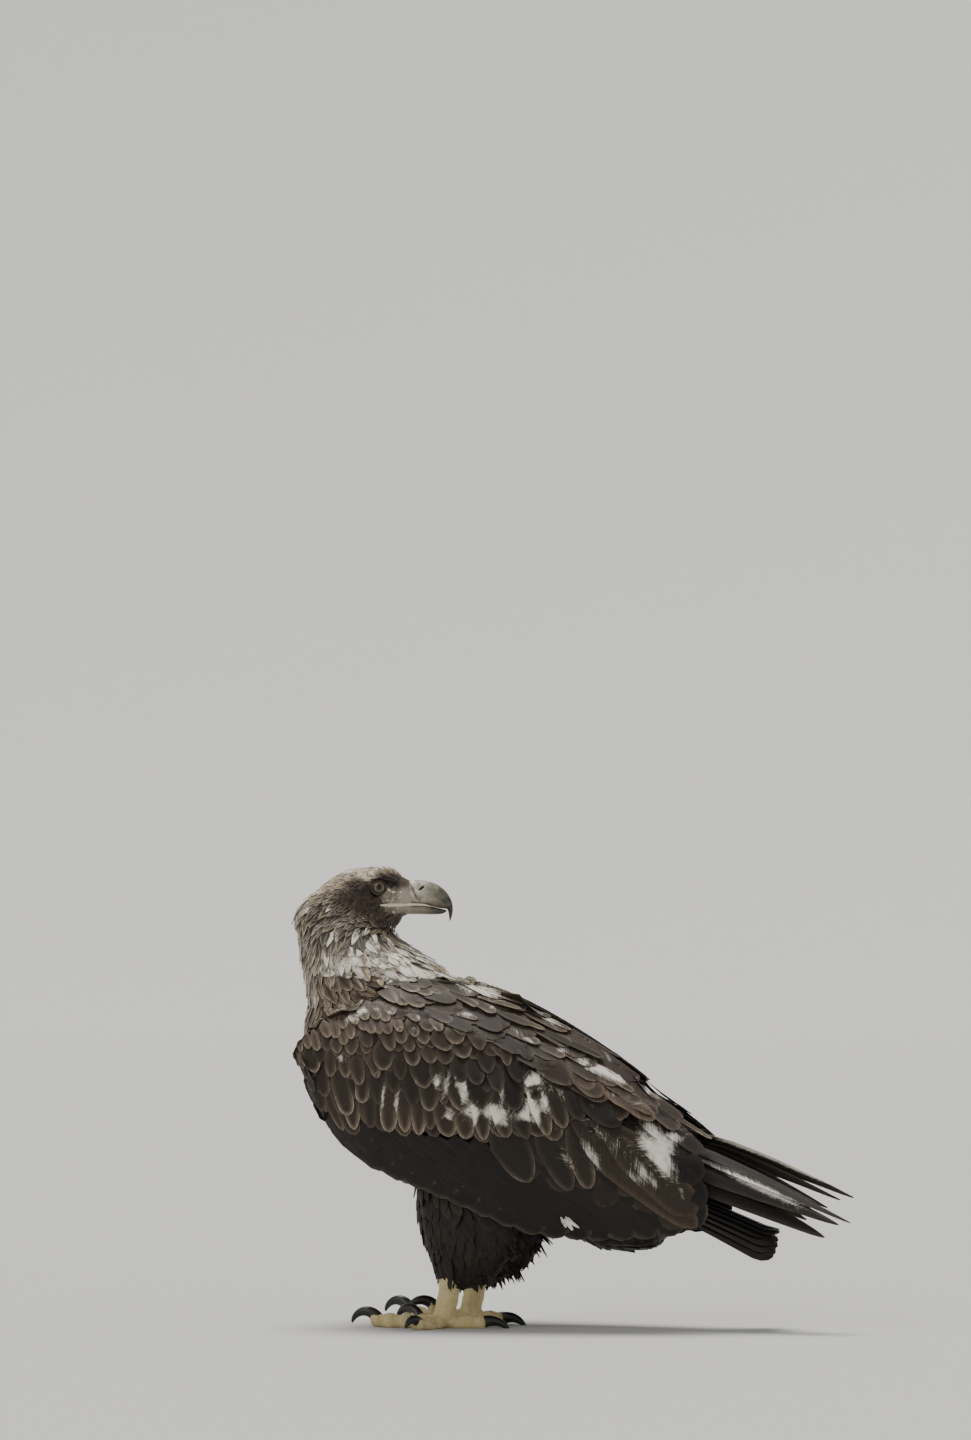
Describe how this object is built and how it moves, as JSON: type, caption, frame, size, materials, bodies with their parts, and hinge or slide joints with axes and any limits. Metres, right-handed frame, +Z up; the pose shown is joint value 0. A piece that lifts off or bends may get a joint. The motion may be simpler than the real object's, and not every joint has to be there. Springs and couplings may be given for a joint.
{
  "type": "bald eagle figure",
  "caption": "Life-size still model of an immature bald eagle, standing on both feet with folded wings and looking back over its right shoulder.",
  "frame": {"origin": "on the floor, under the middle of the bounding box", "axes": "the bird faces -Y, its left side is +X, and +Z is up; the feet stand on z = 0"},
  "size_m": [0.2478, 0.6395, 0.5123],
  "materials": {
    "plumage_brown": "soft dark brown feathers with pale tips and white bases",
    "plumage_mantle": "pointed neck feathers, whitish streaked with brown",
    "plumage_crown": "short buff and brown feathers",
    "flight_feathers": "stiff blackish brown quill feathers",
    "bill_horn": "satin grey horn, darker at the tip",
    "cere": "waxy yellowish skin",
    "foot_skin": "scaly pale yellow skin",
    "claw_horn": "smooth black horn",
    "eye": "wet, glassy, pale brown iris with a black pupil"
  },
  "bodies": {
    "root": {"trunk": "plumage_brown", "thigh_left": "plumage_brown", "thigh_right": "plumage_brown", "wing_left": "plumage_brown", "wing_right": "plumage_brown", "neck": "plumage_mantle", "head": "plumage_crown", "secondaries_left": "flight_feathers", "secondaries_right": "flight_feathers", "primaries_left": "flight_feathers", "primaries_right": "flight_feathers", "tail": "flight_feathers", "bill_upper": "bill_horn", "bill_lower": "bill_horn", "cere": "cere", "foot_left": "foot_skin", "foot_right": "foot_skin", "claw_inner_left": "claw_horn", "claw_middle_left": "claw_horn", "claw_outer_left": "claw_horn", "claw_hind_left": "claw_horn", "claw_inner_right": "claw_horn", "claw_middle_right": "claw_horn", "claw_outer_right": "claw_horn", "claw_hind_right": "claw_horn", "eye_left": "eye", "eye_right": "eye"}
  },
  "joints": []
}
